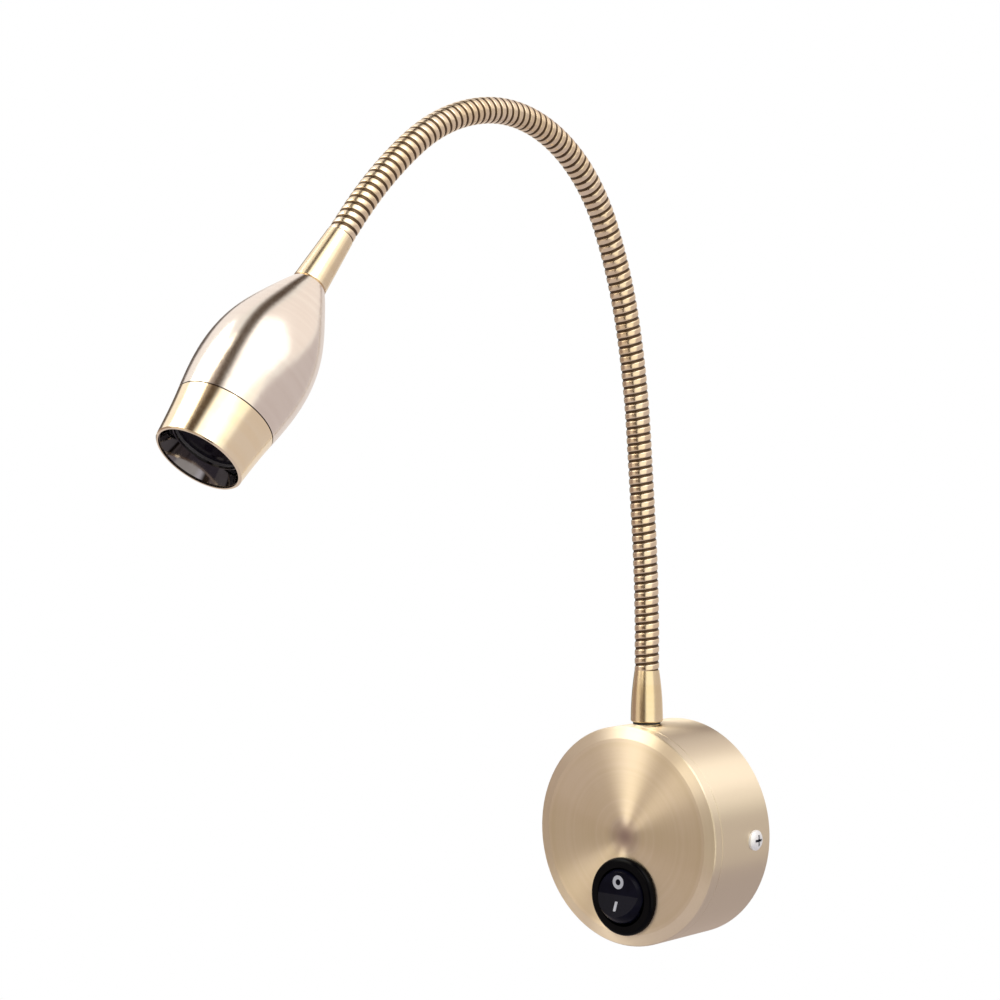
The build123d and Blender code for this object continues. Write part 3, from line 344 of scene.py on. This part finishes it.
MATERIALS = {
    # The base front gets a painted dark reflection at its centre and a painted highlight on its bevel.
    "brass_base": turned_metal("base_brushed", (0.78, 0.67, 0.49), (0.83, 0.72, 0.56), (0, 0, 0), FORWARD,
                               (0.34, 0.42), 9000.0, 0.12, base_painted_light_and_side_tone, 0.96),
    "brass_collar": turned_metal("collar_brass", (0.84, 0.69, 0.44), (0.87, 0.73, 0.50), HOSE_START, UP,
                                 (0.22, 0.27), 6000.0, 0.03),
    "brass_hose": hose_metal,
    "brass_head": turned_metal("head_satin", (0.84, 0.76, 0.69), (0.87, 0.80, 0.73), HOSE_END, HEAD_AXIS,
                               (0.15, 0.21), 7000.0, 0.08),
    # The ring gets painted shade in its seam.
    "brass_ring": turned_metal("ring_brass", (0.97, 0.82, 0.58), (0.98, 0.85, 0.63), HOSE_END, HEAD_AXIS,
                               (0.12, 0.18), 7000.0, 0.06, seam_painted_shade),
    "nickel": plain_metal("nickel", (0.86, 0.85, 0.83), (0.78, 0.77, 0.75), (0.14, 0.24)),
    "zinc_steel": plain_metal("zinc_steel", (0.62, 0.63, 0.64), (0.52, 0.53, 0.56), (0.3, 0.5), 500.0),
    "spring_steel": plain_metal("spring_steel", (0.55, 0.55, 0.56), (0.46, 0.46, 0.47), (0.2, 0.35)),
    "contact_brass": plain_metal("contact_brass", (0.78, 0.62, 0.34), (0.70, 0.54, 0.30), (0.2, 0.35)),
    "baffle_black": plain_metal("baffle_black", (0.18, 0.17, 0.185), (0.21, 0.20, 0.22), (0.05, 0.09),
                                2000.0, 0.05),
    "aluminium": plain_metal("aluminium", (0.72, 0.72, 0.73), (0.64, 0.64, 0.66), (0.3, 0.45), 700.0),
    "switch_black": plastic("switch_black", (0.001, 0.001, 0.002), (0.002, 0.002, 0.003), (0.12, 0.18),
                            2500.0, 0.05, 0.05),
    "rocker_black": plastic("rocker_black", (0.002, 0.002, 0.007), (0.004, 0.004, 0.011), (0.20, 0.28),
                            3000.0, 0.1, 0.05),
    "driver_white": plastic("driver_white", (0.80, 0.80, 0.78), (0.74, 0.74, 0.72)),
    "block_white": plastic("block_white", (0.78, 0.76, 0.70), (0.70, 0.68, 0.62)),
    "board_green": plastic("board_green", (0.03, 0.16, 0.07), (0.04, 0.20, 0.09), (0.3, 0.45)),
    "component_dark": plastic("component_dark", (0.04, 0.04, 0.045), (0.07, 0.07, 0.075)),
    "foam": plastic("foam", (0.16, 0.16, 0.16), (0.22, 0.22, 0.22), (0.85, 0.95), 2200.0, 1.0, 0.2),
    "rubber_black": plastic("rubber_black", (0.018, 0.018, 0.018), (0.03, 0.03, 0.03), (0.55, 0.7),
                            1500.0, 0.5, 0.3),
    "star_white": plastic("star_white", (0.82, 0.82, 0.80), (0.76, 0.76, 0.74)),
    "emitter_yellow": plastic("emitter_yellow", (0.82, 0.62, 0.10), (0.88, 0.70, 0.18), (0.25, 0.35)),
    "holder_white": plastic("holder_white", (0.80, 0.79, 0.76), (0.74, 0.73, 0.70)),
    "silicone": plastic("silicone", (0.13, 0.12, 0.13), (0.16, 0.15, 0.16), (0.4, 0.55)),
    "wire_brown": plastic("wire_brown", (0.16, 0.06, 0.02), (0.20, 0.08, 0.03)),
    "wire_blue": plastic("wire_blue", (0.03, 0.12, 0.42), (0.05, 0.16, 0.5)),
    "wire_pair": plastic("wire_pair", (0.10, 0.02, 0.02), (0.03, 0.03, 0.03)),
    "lens_clear": lens_material(),
}

# Nodes that look different from the rest of their slot.
OWN = {
    "neck_sleeve": turned_metal("neck_brass", (0.86, 0.71, 0.48), (0.88, 0.75, 0.54), HOSE_END, HEAD_AXIS,
                                (0.20, 0.26), 6000.0, 0.06),
    "cover_screws": screw_metal(),
}


def slot_of(node):
    """The record's slot of a node, which is also the name of its material in model.glb."""
    names = [entry.material.name for entry in node.material_slots if entry.material]
    return names[0].split(".")[0]


for name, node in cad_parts.items():
    wanted = OWN.get(name) or MATERIALS[slot_of(node)]
    for entry in node.material_slots:
        entry.material = wanted


# ---------------------------------------------------------------- gooseneck
def walk(run, ribs):
    """Centre and heading after so many ribs of a run."""
    start, heading, turn, count = run
    bend = turn * ribs / count
    half = bend / 2
    chord = RIB * ribs * (sin(half) / half if abs(half) > 1e-9 else 1.0)
    way = heading + half
    return start + Vector((0.0, -sin(way), cos(way))) * chord, heading + bend


def route():
    """Centre line as runs of ribs: start, heading, turn in radians, number of ribs."""
    runs = [[HOSE_START.copy(), 0.0, 0.0, END_RIBS]]
    for turn in TURNS:
        runs.append([None, 0.0, radians(turn), BEND_RIBS])
    runs.append([None, 0.0, 0.0, END_RIBS])
    for before, run in zip(runs, runs[1:]):
        run[0] = walk(before, before[3])[0]
        run[1] = before[1] + before[2]
    return runs


def along(runs, ribs):
    """Centre and heading after so many ribs of the whole hose."""
    for run in runs:
        if ribs <= run[3] + 1e-9:
            return walk(run, ribs)
        ribs -= run[3]
    return walk(runs[-1], runs[-1][3])


def rib_height(t):
    """Height of a wound turn, from 0 in its narrow groove to 1 on its rounded band."""
    off = abs(t - floor(t) - 0.5)
    if off >= BAND_HALF:
        return 0.0
    return (1.0 - (off / BAND_HALF) ** BAND_POWER) ** 0.5


def hose_ring(runs, ribs, heights):
    """Points round the hose: on the ribs, with a height for each point, or on the bore without heights."""
    centre, heading = along(runs, ribs)
    side = Vector((0.0, cos(heading), sin(heading)))
    points = []
    for k in range(HOSE_SIDES):
        angle = 2 * pi * k / HOSE_SIDES
        radius = GROOVE_R + (CREST_R - GROOVE_R) * heights[k] if heights else BORE_R
        points.append(centre + Vector((cos(angle) * radius, 0, 0)) + side * (sin(angle) * radius))
    return points


def tube_faces(rings):
    """Faces of a closed tube: its outer wall, its bore, and a flat ring at each end."""
    faces = []
    inner = (rings + 1) * HOSE_SIDES
    top = rings * HOSE_SIDES
    for i in range(rings):
        for k in range(HOSE_SIDES):
            a = i * HOSE_SIDES + k
            b = i * HOSE_SIDES + (k + 1) % HOSE_SIDES
            faces.append((a, b, b + HOSE_SIDES, a + HOSE_SIDES))
            faces.append((inner + a + HOSE_SIDES, inner + b + HOSE_SIDES, inner + b, inner + a))
    for k in range(HOSE_SIDES):
        n = (k + 1) % HOSE_SIDES
        faces.append((inner + k, inner + n, n, k))
        faces.append((top + k, top + n, inner + top + n, inner + top + k))
    return faces


def link_mesh(name, points, faces, metal):
    mesh = bpy.data.meshes.new(name)
    mesh.from_pydata(points, [], faces)
    mesh.validate()
    mesh.materials.append(metal)
    made = bpy.data.objects.new(name, mesh)
    bpy.context.scene.collection.objects.link(made)
    return made


def hose_piece(name, runs, first, last, metal):
    """A closed tube with the helical ribs, from rib number first to rib number last."""
    rings = round((last - first) * STEPS_PER_RIB)
    stations = [first + i / STEPS_PER_RIB for i in range(rings + 1)]
    points = []
    crests = []
    for ribs in stations:
        heights = [rib_height(ribs - k / HOSE_SIDES) for k in range(HOSE_SIDES)]
        points += hose_ring(runs, ribs, heights)
        crests += heights
    for ribs in stations:
        points += hose_ring(runs, ribs, None)
    made = link_mesh(name, points, tube_faces(rings), metal)
    mesh = made.data
    mesh.polygons.foreach_set("use_smooth", [True] * len(mesh.polygons))
    mesh.set_sharp_from_angle(angle=radians(60))
    crest = mesh.attributes.new("crest", "FLOAT", "POINT")
    crest.data.foreach_set("value", crests + [0.0] * (len(points) - len(crests)))
    return made


# The hose in coils: each reaches from the middle of one bend to the middle of the next.
runs = route()
first_bend = END_RIBS + BEND_RIBS
total_ribs = 2 * END_RIBS + len(TURNS) * BEND_RIBS
cuts = [0.0] + [first_bend + BEND_RIBS * (k + 0.5) for k in range(6)] + [total_ribs]
middles = [END_RIBS + BEND_RIBS * (k + 0.5) for k in range(8)]
for k in range(7):
    piece = hose_piece(f"hose_coil_{k + 1}", runs, cuts[k], cuts[k + 1], hose_metal)
    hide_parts(f"gooseneck_{k + 1}", f"gooseneck_{k + 2}")
    tuple(along(runs, middles[k])[0])
    tuple(along(runs, middles[k + 1])[0])
    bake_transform(piece)


# ---------------------------------------------------------------- marks on the rocker
def rocker_place(x, v, lift):
    """A point on the rocker's hollow face, v above its middle."""
    out = Vector((0.0, -cos(ROCKER_TILT), sin(ROCKER_TILT)))
    up = Vector((0.0, sin(ROCKER_TILT), cos(ROCKER_TILT)))
    depth = FACE_LOW + (FACE_HIGH - FACE_LOW) * abs(v) / ROCKER_R
    return PIVOT + Vector((x, 0.0, 0.0)) + out * (depth + lift) + up * v


def loft(name, loops):
    """A piece of paint through a closed ring of loops of points."""
    count = len(loops[0])
    points = [p for loop in loops for p in loop]
    faces = []
    for i in range(len(loops)):
        j = (i + 1) % len(loops)
        for k in range(count):
            n = (k + 1) % count
            faces.append((i * count + k, i * count + n, j * count + n, j * count + k))
    return link_mesh(name, points, faces, mark_paint)


def ring_mark(name, v, outer, inner):
    loops = []
    profile = (
        (outer, PAINT_ROOT),
        (outer, PAINT_SHOULDER),
        (outer - PAINT_ROUND, PAINT_HEIGHT),
        (inner + PAINT_ROUND, PAINT_HEIGHT),
        (inner, PAINT_SHOULDER),
        (inner, PAINT_ROOT),
    )
    angles = [2 * pi * k / RING_SIDES for k in range(RING_SIDES)]
    for radius, lift in profile:
        loops.append([rocker_place(radius * cos(a), v + radius * sin(a), lift) for a in angles])
    return loft(name, loops)


def bar_mark(name, v, half_x, half_v):
    """A bar with rounded ends: its outline is a superellipse."""
    outline = []
    for k in range(BAR_SIDES):
        angle = 2 * pi * k / BAR_SIDES
        x_side = 1 if cos(angle) > 0 else -1
        v_side = 1 if sin(angle) > 0 else -1
        outline.append((abs(cos(angle)) ** 0.35 * x_side * half_x, abs(sin(angle)) ** 0.2 * v_side * half_v))
    loops = []
    for size, lift in ((1.0, PAINT_ROOT), (1.0, PAINT_SHOULDER), (0.9, PAINT_HEIGHT), (0.0, PAINT_HEIGHT)):
        loops.append([rocker_place(a * size, v + b * size, lift) for a, b in outline])
    return loft(name, loops)


mark_off = ring_mark("mark_off", OFF_V, OFF_OUTER, OFF_INNER)
mark_on = bar_mark("mark_on", ON_V, ON_HALF_X, ON_HALF_V)
for mark in (mark_off, mark_on):
    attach(mark, "rocker")

# ---------------------------------------------------------------- camera
# It looks along -back, and its place is given along its own three directions.
CAMERA_AZIMUTH = radians(40.63)
CAMERA_RISE = radians(2.30)
CAMERA_RIGHT = -0.05495
CAMERA_ABOVE = 0.09836
CAMERA_BACK = 0.80211
SENSOR_WIDTH = 36.0
FOCAL_PER_WIDTH = 2.65005


def direction(azimuth, elevation):
    """A unit vector. Azimuth 0 is straight in front of the wall, positive to the right."""
    return Vector((sin(azimuth) * cos(elevation), -cos(azimuth) * cos(elevation), sin(elevation)))


def add_camera():
    back = direction(CAMERA_AZIMUTH, CAMERA_RISE)
    right = Vector((cos(CAMERA_AZIMUTH), sin(CAMERA_AZIMUTH), 0.0))
    above = back.cross(right)
    spot = CAMERA_RIGHT * right + CAMERA_ABOVE * above + CAMERA_BACK * back
    camera = bpy.data.objects.new("camera", bpy.data.cameras.new("camera"))
    camera.data.sensor_width = SENSOR_WIDTH
    camera.data.lens = FOCAL_PER_WIDTH * SENSOR_WIDTH
    camera.data.clip_start = 0.01
    camera.data.clip_end = 50.0
    camera.matrix_world = Matrix((
        (right.x, above.x, back.x, spot.x),
        (right.y, above.y, back.y, spot.y),
        (right.z, above.z, back.z, spot.z),
        (0.0, 0.0, 0.0, 1.0),
    ))
    bpy.context.scene.collection.objects.link(camera)
    bpy.context.scene.camera = camera


add_camera()

# ---------------------------------------------------------------- studio
LIT_POINT = Vector((0.0, -0.06, 0.08))
LIGHT_DISTANCE = 1.8
LIGHT_SIZE = 1.0
FLOOR_Z = -0.6
FLOOR_HALF = 1.1
FLOOR_GLOW = 0.8
WHITE = (1.0, 1.0, 1.0)


def soft_light(name, azimuth, elevation, power):
    """A square soft box that faces the lamp, at an azimuth and elevation in degrees."""
    way = direction(radians(azimuth), radians(elevation))
    data = bpy.data.lights.new(name, "AREA")
    data.size = LIGHT_SIZE
    data.energy = power
    made = bpy.data.objects.new(name, data)
    made.location = LIT_POINT + way * LIGHT_DISTANCE
    made.rotation_euler = way.to_track_quat("Z", "Y").to_euler()
    bpy.context.scene.collection.objects.link(made)


soft_light("key", 74.0, 50.0, 7.6)
soft_light("left", -55.0, 42.0, 7.0)

# Soft-edged panels that only gloss sees: colour, azimuths from and to, elevations from and to, and the
# width of the edge, all in degrees. A later panel lies over an earlier one.
CARDS = (
    ((0.82, 0.76, 0.73), -200, -144, -30, 14, 8),
    ((0.70, 0.61, 0.63), -200, -150, 14, 48, 10),
    ((1.05, 0.98, 0.93), -150, -92, 12, 60, 10),
    ((0.36, 0.27, 0.24), -98, -46, -22, 12, 9),
    ((0.80, 0.68, 0.58), -46, 14, -22, 9, 6),
    ((0.64, 0.57, 0.555), 96, 200, -26, 12, 8),
    ((0.38, 0.29, 0.25), -76, -48, 10, 40, 8),
    ((0.42, 0.33, 0.28), -24, 14, 9, 66, 6),
    ((3.00, 2.75, 2.20), -46, -25, 12, 66, 5),
    ((2.70, 2.42, 1.90), -13, 16, 11, 31, 6),
    ((1.60, 1.54, 1.46), 30, 128, 22, 100, 8),
    ((1.25, 1.18, 1.02), 30, 92, -30, 24, 8),
    ((1.04, 0.95, 0.88), 120, 180, 14, 100, 8),
    ((0.15, 0.10, 0.07), -14, 24, -16, 6, 14),
    ((0.11, 0.09, 0.08), -127, -105, -14, 22, 5),
)

# The gap between the soft boxes: a dark band along the front part of a great circle, with this normal.
GAP_COLOUR = (0.085, 0.055, 0.036)
GAP_NORMAL = (0.936, 0.318, 0.150)
GAP_INNER = radians(4.5)
GAP_OUTER = radians(13.0)


def studio_world():
    """Plain light for the lamp, white behind it, and a studio of soft boxes and cards for gloss alone."""
    world = bpy.data.worlds.new("studio")
    bpy.context.scene.world = world
    world.use_nodes = True
    t = Tree(world.node_tree)
    background = world.node_tree.nodes["Background"]
    way = t.node("ShaderNodeTexCoord").outputs["Generated"]
    rays = t.node("ShaderNodeLightPath")
    parts = t.node("ShaderNodeSeparateXYZ")
    t.link(way, parts.inputs[0])
    turn = t.math("ARCTAN2", parts.outputs["X"], t.math("MULTIPLY", parts.outputs["Y"], -1.0))
    rise = t.math("ARCSINE", parts.outputs["Z"])

    def window(value, low, high, soft):
        rising = t.span(value, radians(low - soft / 2), radians(low + soft / 2))
        falling = t.span(value, radians(high - soft / 2), radians(high + soft / 2), 1.0, 0.0)
        return t.math("MULTIPLY", rising, falling)

    env = t.mix(t.span(rise, radians(-40), radians(5)), (0.62, 0.54, 0.52), (1.0, 0.96, 0.90))
    for colour, left, right, bottom, top, soft in CARDS:
        here = t.math("MULTIPLY", window(turn, left, right, soft), window(rise, bottom, top, soft))
        env = t.mix(here, env, colour)
    off = t.math("ABSOLUTE", t.vector("DOT_PRODUCT", way, GAP_NORMAL))
    in_front = t.span(parts.outputs["Y"], 0.5, 0.7, 1.0, 0.0)
    gap = t.math("MULTIPLY", t.span(off, sin(GAP_INNER), sin(GAP_OUTER), 1.0, 0.0), in_front)
    env = t.mix(gap, env, GAP_COLOUR)
    seen = t.math("MAXIMUM", rays.outputs["Is Camera Ray"], rays.outputs["Is Transmission Ray"])
    plain = t.mix(seen, (0.62, 0.62, 0.62), WHITE)
    t.put(background.inputs["Color"], t.mix(rays.outputs["Is Glossy Ray"], plain, env))
    background.inputs["Strength"].default_value = 1.0


def floor_paint():
    """Pale grey for diffuse light, and nearly white to the camera, to gloss and through the lens."""
    paint = bpy.data.materials.new("floor_paint")
    paint.use_nodes = True
    t = Tree(paint.node_tree)
    shader = paint.node_tree.nodes["Principled BSDF"]
    shader.inputs["Base Color"].default_value = (0.86, 0.86, 0.86, 1.0)
    shader.inputs["Roughness"].default_value = 0.9
    glow = t.node("ShaderNodeEmission")
    rays = t.node("ShaderNodeLightPath")
    t.put(glow.inputs["Color"], t.mix(rays.outputs["Is Glossy Ray"], WHITE, (0.56, 0.48, 0.50)))
    blend = t.node("ShaderNodeMixShader")
    seen = t.math("MAXIMUM", rays.outputs["Is Camera Ray"], rays.outputs["Is Transmission Ray"])
    seen = t.math("MAXIMUM", seen, rays.outputs["Is Glossy Ray"])
    t.put(blend.inputs[0], t.math("MULTIPLY", seen, FLOOR_GLOW))
    t.link(shader.outputs["BSDF"], blend.inputs[1])
    t.link(glow.outputs["Emission"], blend.inputs[2])
    t.link(blend.outputs["Shader"], paint.node_tree.nodes["Material Output"].inputs["Surface"])
    return paint


def floor_plane():
    corners = [(x * FLOOR_HALF, y * FLOOR_HALF, FLOOR_Z) for x, y in ((-1, -1), (1, -1), (1, 1), (-1, 1))]
    link_mesh("floor", corners, [(0, 1, 2, 3)], floor_paint())


studio_world()
floor_plane()
bpy.context.scene.view_settings.view_transform = "Standard"
